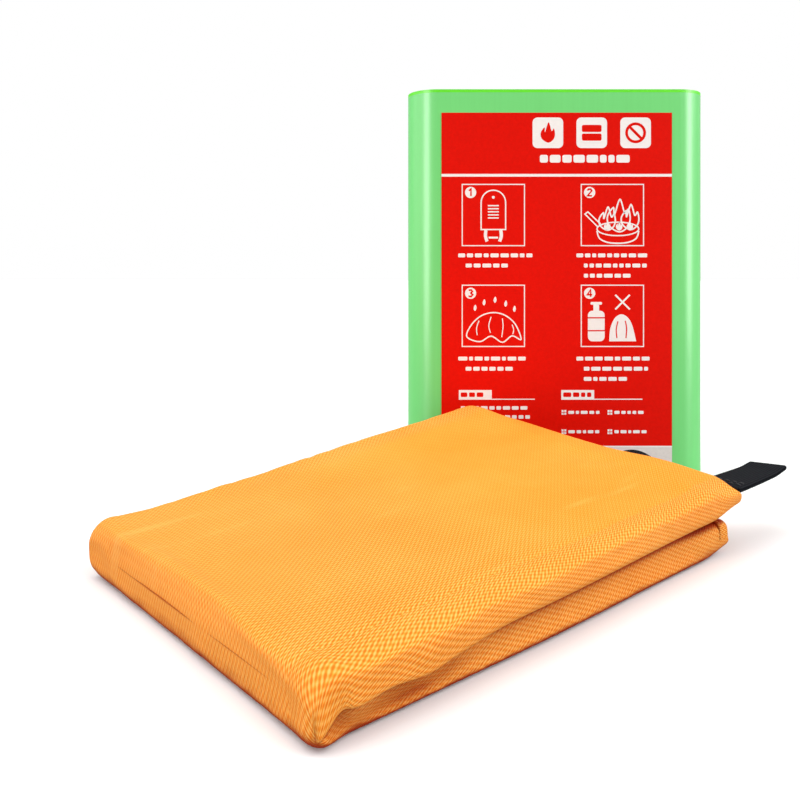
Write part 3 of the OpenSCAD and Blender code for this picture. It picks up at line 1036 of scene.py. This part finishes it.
# ------------------------------------------------------------------ label print

LABEL_LOW, LABEL_HIGH = (Vector(c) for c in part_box("front_label"))
UNIT = (LABEL_HIGH.x - LABEL_LOW.x) / 143    # the print is laid out in 143 units across
PRINT_STEP = 0.04 * MM                       # each layer of print lies this far out


class Print:
    """Flat shapes of one ink on the label, in units from its top left corner."""

    def __init__(self, layer):
        self.y = LABEL_LOW.y - layer * PRINT_STEP
        self.verts, self.faces = [], []

    def fill(self, outline):
        """A filled outline of (x, y down) points. No two shapes share a plane."""
        base = len(self.verts)
        y = self.y - len(self.faces) % 20 * PRINT_STEP / 24
        area = sum(a[0] * b[1] - b[0] * a[1]
                   for a, b in zip(outline, outline[1:] + outline[:1]))
        ordered = outline if area < 0 else outline[::-1]
        self.verts += [(LABEL_LOW.x + px * UNIT, y, LABEL_HIGH.z - py * UNIT)
                       for px, py in ordered]
        self.faces.append(tuple(range(base, len(self.verts))))

    def bar(self, x, y, w, h, r=0.0):
        """A bar with round corners, from its top left corner."""
        if r <= 0:
            self.fill([(x, y), (x + w, y), (x + w, y + h), (x, y + h)])
            return
        corners = ((x + w - r, y + r, -90), (x + w - r, y + h - r, 0),
                   (x + r, y + h - r, 90), (x + r, y + r, 180))
        self.fill([(cx + r * math.cos(math.radians(start + 22.5 * k)),
                    cy + r * math.sin(math.radians(start + 22.5 * k)))
                   for cx, cy, start in corners for k in range(5)])

    def disc(self, x, y, r, steps=28):
        """A filled disc."""
        self.fill([(x + r * math.cos(2 * math.pi * k / steps),
                    y + r * math.sin(2 * math.pi * k / steps)) for k in range(steps)])

    def line(self, points, width, closed=False):
        """A line of even width through the points."""
        p = [Vector(q) for q in points]
        count = len(p)
        sides = []
        for i in range(count):
            before = p[i - 1] if (closed or i) else p[i]
            after = p[(i + 1) % count] if (closed or i < count - 1) else p[i]
            back = (p[i] - before).normalized() if before != p[i] else None
            ahead = (after - p[i]).normalized() if after != p[i] else None
            along = ((back or ahead) + (ahead or back)).normalized()
            normal = Vector((-along.y, along.x))
            stretch = 1.0
            if back is not None and ahead is not None:
                stretch = 1 / max(0.5, abs(normal.dot(Vector((-ahead.y, ahead.x)))))
            sides.append((p[i] + normal * width / 2 * stretch, p[i] - normal * width / 2 * stretch))
        for i in range(count if closed else count - 1):
            a, b = sides[i], sides[(i + 1) % count]
            self.fill([tuple(a[0]), tuple(b[0]), tuple(b[1]), tuple(a[1])])

    def frame(self, x, y, w, h, width):
        """The outline of a rectangle."""
        self.line([(x, y), (x + w, y), (x + w, y + h), (x, y + h)], width, closed=True)

    def words(self, x, y, w, h, seed, size=3.4):
        """A line of text, as a row of plain short bars."""
        rng = random.Random(seed)
        end = x + w
        while x < end - size:
            length = min(rng.uniform(0.7, 1.7) * size, end - x)
            self.bar(x, y, length, h, h * 0.25)
            x += length + 1.1

    def make(self, name, made, slot):
        """The mesh of this ink, on the case's body."""
        piece = make_object(name, self.verts, self.faces, material=made, shade_smooth=False)
        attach(piece, "wall_case")


def curve(points, steps=6, closed=False):
    """A smooth line through the points (Catmull-Rom)."""
    p = [Vector(q) for q in points]
    count = len(p)
    made = []
    for i in range(count if closed else count - 1):
        if closed:
            a, b, c, d = p[i - 1], p[i], p[(i + 1) % count], p[(i + 2) % count]
        else:
            a, b, c, d = p[max(i - 1, 0)], p[i], p[i + 1], p[min(i + 2, count - 1)]
        for k in range(steps):
            t = k / steps
            made.append(tuple(0.5 * (2 * b + (c - a) * t + (2 * a - 5 * b + 4 * c - d) * t * t
                                     + (3 * b - a - 3 * c + d) * t ** 3)))
    if not closed:
        made.append(tuple(p[-1]))
    return made


FLAME = ((0, 0), (-3.4, -2.2), (-4.0, -5.6), (-1.9, -8.6), (-1.6, -5.9), (0.4, -11.5),
         (2.1, -6.6), (3.4, -8.0), (4.0, -4.4), (2.8, -1.4))
DIGITS = {
    1: [[(-0.7, -0.7), (0.15, -1.5), (0.15, 1.5)]],
    2: [[(-0.9, -0.8), (-0.5, -1.4), (0.5, -1.4), (0.9, -0.7), (-0.9, 1.4), (1.0, 1.4)]],
    3: [[(-0.8, -1.3), (0.3, -1.4), (0.8, -0.7), (0.1, -0.1), (0.9, 0.6), (0.3, 1.4),
         (-0.9, 1.3)]],
    4: [[(0.4, 1.5), (0.4, -1.5), (-1.0, 0.6), (1.1, 0.6)]],
}


def moved(points, x, y, scale=1.0):
    """The points, scaled and then moved by (x, y)."""
    return [(x + scale * px, y + scale * py) for px, py in points]


def flame(ink, x, y, scale):
    """A flame that stands on (x, y)."""
    ink.fill(moved(curve(FLAME, closed=True), x, y, scale))


def draw_wall_case(white, x, y):
    """Picture 1: a wall case with its two tapes hanging out."""
    arch = [(7.6 * math.cos(w), -7.8 - 7.6 * math.sin(w)) for w in np.linspace(0, math.pi, 19)]
    white.line(moved([(7.6, 9.0)] + arch + [(-7.6, 9.0)], x, y), 0.8, closed=True)
    white.disc(x, y - 11.0, 0.9, 12)
    for k in range(5):
        white.bar(x - 3.4, y - 6.2 + 1.9 * k, 6.8, 0.8)
    for side in (-1, 1):
        tape = [(side * 4.6, 9.4), (side * 4.9, 13.0), (side * 3.9, 16.4)]
        white.line(moved(curve(tape), x, y), 2.0)
    white.bar(x - 3.0, y + 13.4, 6.0, 1.2, 0.4)


def draw_burning_pan(white, x, y):
    """Picture 2: a pan on fire, its handle to the upper left."""
    rim = [(13.0 * math.cos(w), 4.2 * math.sin(w)) for w in np.linspace(0, 2 * math.pi, 25)[:-1]]
    white.line(moved(rim, x, y), 0.8, closed=True)
    bowl = [(-13.0, 1.2), (-11.2, 6.0), (-5.0, 8.6), (5.0, 8.6), (11.2, 6.0), (13.0, 1.2)]
    white.line(moved(curve(bowl), x, y), 0.9)
    white.line(moved([(-12.6, -1.4), (-20.4, -9.2), (-18.6, -10.6), (-10.6, -3.0)], x, y), 0.8)
    for fx, fy, scale in ((-6.6, 0.8, 1.25), (0.6, 1.8, 1.75), (7.6, 0.4, 1.35)):
        white.line(moved(curve(FLAME, closed=True), x + fx, y + fy, scale), 0.9, closed=True)
    for fx in (-6.6, 0.8, 7.4):
        flame(white, x + fx, y + 1.0, 0.5)


def draw_covered_pan(white, x, y):
    """Picture 3: the blanket laid over the pan, with warm air rising."""
    sheet = [(-17, 8), (-14.5, 1.0), (-8.5, -4.8), (-1, -7.0), (6.5, -5.4), (13, 0.2), (16.6, 9.6),
             (11, 7.4), (5, 11.4), (-2, 7.6), (-9, 11.0)]
    white.line(moved(curve(sheet, closed=True), x, y), 0.8, closed=True)
    for fold in ([(-9.5, -2), (-11, 2.6), (-10.6, 7.0)], [(-2, -4.4), (-3.4, 1), (-2.4, 5.6)],
                 [(5, -3.4), (5.4, 1.6), (4.6, 8.2)], [(11, 0.4), (12.0, 3.6), (11.4, 6.4)]):
        white.line(moved(curve(fold), x, y), 0.6)
    leaf = [(0, 0), (-0.9, -1.6), (0.2, -4.0), (1.0, -1.8)]
    for lx, ly in ((-12, -8), (-6.4, -11.4), (0.4, -13.0), (7.0, -10.6), (12.4, -7.4)):
        white.fill(moved(curve(leaf, 3, closed=True), x + lx, y + ly))


def draw_gas_cylinder(white, red, x, y):
    """Picture 4: a gas cylinder by a covered heap, and a cross for a closed valve."""
    white.bar(x - 14.6, y - 5.6, 10.4, 19.0, 2.8)
    white.bar(x - 11.2, y - 9.4, 3.6, 5.0, 0.6)
    white.bar(x - 13.0, y - 11.0, 7.2, 1.7, 0.7)
    for band in (-1.6, 6.4):
        red.bar(x - 14.6, y + band, 10.4, 0.8)
    sheet = [(-1.4, 13.4), (-0.6, 5), (2.6, -1.6), (7.4, -3.2), (12.2, 1.6), (15.4, 13.4)]
    white.fill(moved(curve(sheet), x, y))
    for fold in ([(4.0, 1.0), (3.0, 6.0), (3.4, 11.4)], [(8.6, 0.6), (9.4, 5.6), (9.0, 11.4)]):
        red.line(moved(curve(fold), x, y), 0.7)
    white.line(moved([(2.4, -15.4), (11.4, -6.4)], x, y), 1.1)
    white.line(moved([(11.4, -15.4), (2.4, -6.4)], x, y), 1.1)


def picture_frames(white, red):
    """Four framed and numbered pictures."""
    wide, high = 38.6, 38.0
    spots = ((12.9, 44.5), (86.7, 44.5), (12.9, 107.0), (86.7, 107.0))
    for number, (x, y) in enumerate(spots, 1):
        white.frame(x, y, wide, high, 0.65)
        white.disc(x + 5.2, y + 5.0, 3.5)
        for part in DIGITS[number]:
            red.line(moved(part, x + 5.2, y + 5.0, 1.45), 1.0)
    middle = [(x + wide / 2, y + high / 2) for x, y in spots]
    draw_wall_case(white, *middle[0])
    draw_burning_pan(white, middle[1][0] + 3.4, middle[1][1] + 8.6)
    draw_covered_pan(white, middle[2][0] + 0.6, middle[2][1] + 5.0)
    draw_gas_cylinder(white, red, middle[3][0] - 0.6, middle[3][1] + 2.4)


def title(white, red):
    """Three plain signs and a bar in place of the title's two lines."""
    size, top = 19.0, 3.0
    for k in range(3):
        left = 56.5 + k * 27.2
        white.bar(left, top, size, size, 3.0)
        if k == 0:
            flame(red, left + size / 2, top + 15.6, 1.1)
        elif k == 1:
            red.bar(left + 3.4, top + 4.6, 12.2, 4.4, 1.0)
            red.bar(left + 3.4, top + 10.0, 12.2, 4.4, 1.0)
        else:
            ring = [(5.6 * math.cos(w), 5.6 * math.sin(w))
                    for w in np.linspace(0, 2 * math.pi, 33)[:-1]]
            red.line(moved(ring, left + size / 2, top + size / 2), 1.7, closed=True)
            red.line([(left + 5.4, top + 5.4), (left + 13.6, top + 13.6)], 1.7)
    white.words(61, 26.2, 62, 4.8, 3, 5.4)


def label_print():
    """All the print on the label: a red ground, white marks and a pale foot."""
    strip_top, line_y = 207.5, 38.0
    bottom = (LABEL_HIGH.z - LABEL_LOW.z) / UNIT
    foot = Print(1)
    foot.bar(0.0, strip_top, 143.0, bottom - strip_top)
    foot.make("label_foot", FILM_GREY, "label_red")
    white, red = Print(2), Print(3)
    white.bar(0.0, strip_top - 0.9, 143.0, 0.9)
    white.bar(0.0, line_y, 143.0, 1.7)
    title(white, red)
    picture_frames(white, red)
    for column, x in enumerate((10.4, 83.7)):
        for block, top in enumerate((87.0, 151.0)):
            lines = 2 + (column == 1)
            for k in range(lines):
                short = 0.72 if k == lines - 1 else 1.0
                indent = 4.6 * (k > 0)
                white.words(x + indent, top + 6.3 * k + 0.3, (46 - indent) * short, 2.4,
                            10 + 20 * column + 5 * block + k)
    for x, end in ((10.8, 57.9), (74.3, 124.6)):
        white.bar(x, 172.0, 20.4, 5.8)
        red.words(x + 1.2, 173.5, 18.0, 2.8, int(x), 3.2)
        white.bar(x, 177.4, end - x, 0.6)
    for k in range(4):
        white.words(12.0, 182.0 + 5.6 * k, 43, 2.2, 60 + k, 2.8)
    for x in (74.5, 103.0):
        for y in (184.4, 196.4):
            white.bar(x, y, 2.9, 2.9)
            red.bar(x + 1.3, y, 0.35, 2.9)
            red.bar(x, y + 1.3, 2.9, 0.35)
            white.words(x + 4.2, y + 0.5, 20.0, 1.9, int(x + y), 2.6)
    white.make("label_print", INK_WHITE, "label_red")
    red.make("label_print_detail", INK_RED, "label_red")


# ------------------------------------------------------------------ CAD nodes

def dress(node, made):
    """Gives a CAD node a material and keeps its own shape."""
    slots = NODES[node].data.materials
    slots.clear()
    slots.append(made)


dress("case_sleeve", SHELL)
dress("top_cap", CAP)
dress("front_label", INK_RED)
for node in ("blanket_lower_half", "blanket_upper_half", "lower_hem", "upper_hem"):
    dress(node, CLOTH)
for node in ("lower_hem_stitching", "upper_hem_stitching"):
    dress(node, ORANGE_THREAD)
for node in ("pull_tape_right", "pull_tape_left"):
    dress(node, WEBBING)
for node in ("right_tape_stitching", "left_tape_stitching"):
    dress(node, GREY_THREAD)

cloth_skin()
for up, length, word in ((0, LOWER_L, "lower"), (1, UPPER_L, "upper")):
    layer_ends(up, length, f"layer_ends_{word}", f"{word}_half")
    hem(up, length, f"hem_{word}", f"{word}_half", f"{word}_hem")
    hem_stitches(up, length, f"hem_seam_{word}", f"{word}_half", f"{word}_hem_stitching")
right_tape()
left_tape()
label_print()


# ------------------------------------------------------------------ stage

def sun(name, place, strength, spread):
    """A soft, distant light that shines from a place towards the origin."""
    data = bpy.data.lights.new(name, "SUN")
    data.energy = strength
    data.angle = math.radians(spread)
    lamp = bpy.data.objects.new(name, data)
    lamp.rotation_euler = (-Vector(place)).to_track_quat("-Z", "Y").to_euler()
    bpy.context.scene.collection.objects.link(lamp)


def strip(name, place, size, power):
    """An upright soft box that only shows as a highlight on glossy surfaces."""
    data = bpy.data.lights.new(name, "AREA")
    data.shape = "RECTANGLE"
    data.size, data.size_y = size
    data.energy = power
    lamp = bpy.data.objects.new(name, data)
    lamp.location = place
    towards = Vector((-place[0], -place[1], 0))
    lamp.rotation_euler = towards.to_track_quat("-Z", "Y").to_euler()
    lamp.visible_diffuse = False
    bpy.context.scene.collection.objects.link(lamp)


def pale_floor():
    """A wide pale floor that throws only a little light back on the object."""
    made, add, link, shader = material("floor_pale")
    shader.inputs["Roughness"].default_value = 0.95
    rays = add("ShaderNodeLightPath")
    mix = add("ShaderNodeMix", data_type="RGBA")
    link(rays.outputs["Is Camera Ray"], mix.inputs["Factor"])
    mix.inputs["A"].default_value = (0.42, 0.42, 0.42, 1)
    mix.inputs["B"].default_value = (0.97, 0.97, 0.97, 1)
    link(mix.outputs["Result"], shader.inputs["Base Color"])
    side = 14.0
    corners = [(-side, -side), (side, -side), (side, side), (-side, side)]
    floor = make_object("floor", [(x, y, -0.2 * MM) for x, y in corners], [(0, 1, 2, 3)],
                        material=made, shade_smooth=False)


def studio():
    """White surroundings and soft light from above and from both sides."""
    world = bpy.data.worlds.new("studio")
    world.use_nodes = True
    bpy.context.scene.world = world
    nodes, link = world.node_tree.nodes, world.node_tree.links.new
    seen = nodes.new("ShaderNodeBackground")
    seen.inputs["Color"].default_value = (1, 1, 1, 1)
    light = nodes["Background"]
    light.inputs["Color"].default_value = (1, 1, 1, 1)
    light.inputs["Strength"].default_value = WORLD_LIGHT
    rays = nodes.new("ShaderNodeLightPath")
    mix = nodes.new("ShaderNodeMixShader")
    link(rays.outputs["Is Camera Ray"], mix.inputs[0])
    link(light.outputs[0], mix.inputs[1])
    link(seen.outputs[0], mix.inputs[2])
    link(mix.outputs[0], nodes["World Output"].inputs["Surface"])
    sun("key", (-0.35, -0.1, 1.0), 1.45, 60)
    sun("left", (-1.0, -0.2, 0.3), 1.2, 60)
    sun("right", (1.0, -0.3, 0.8), 1.95, 55)
    strip("strip_left", (-0.80, -0.85, 0.30), (0.42, 0.9), 12.0)
    strip("strip_right", (1.00, -0.60, 0.30), (0.42, 0.9), 12.0)


WORLD_LIGHT = 0.56
CAMERA_PLACE = (-0.1014, -0.524, 0.1314)
LENS = 35.63                 # millimetres, on a 36 mm sensor
LENS_DROP = 0.158            # the lens is shifted down, so that upright edges stay upright


def camera():
    """A level camera in front of the pack. Its lens shift holds only at its own place."""
    data = bpy.data.cameras.new("camera")
    data.sensor_width = 36.0
    data.lens = LENS
    data.clip_start = 0.01
    cam = bpy.data.objects.new("camera", data)
    cam.location = CAMERA_PLACE
    cam.rotation_euler = (math.radians(90), 0, 0)
    bpy.context.scene.collection.objects.link(cam)
    bpy.context.scene.camera = cam
    drop = data.driver_add("shift_y").driver
    place = drop.variables.new()
    place.name = "x"
    place.type = "TRANSFORMS"
    place.targets[0].id = cam
    place.targets[0].transform_type = "LOC_X"
    drop.expression = f"-{LENS_DROP} * (abs(x - {CAMERA_PLACE[0]}) < 0.0001)"


pale_floor()
studio()
camera()
bpy.context.scene.view_settings.view_transform = "Standard"
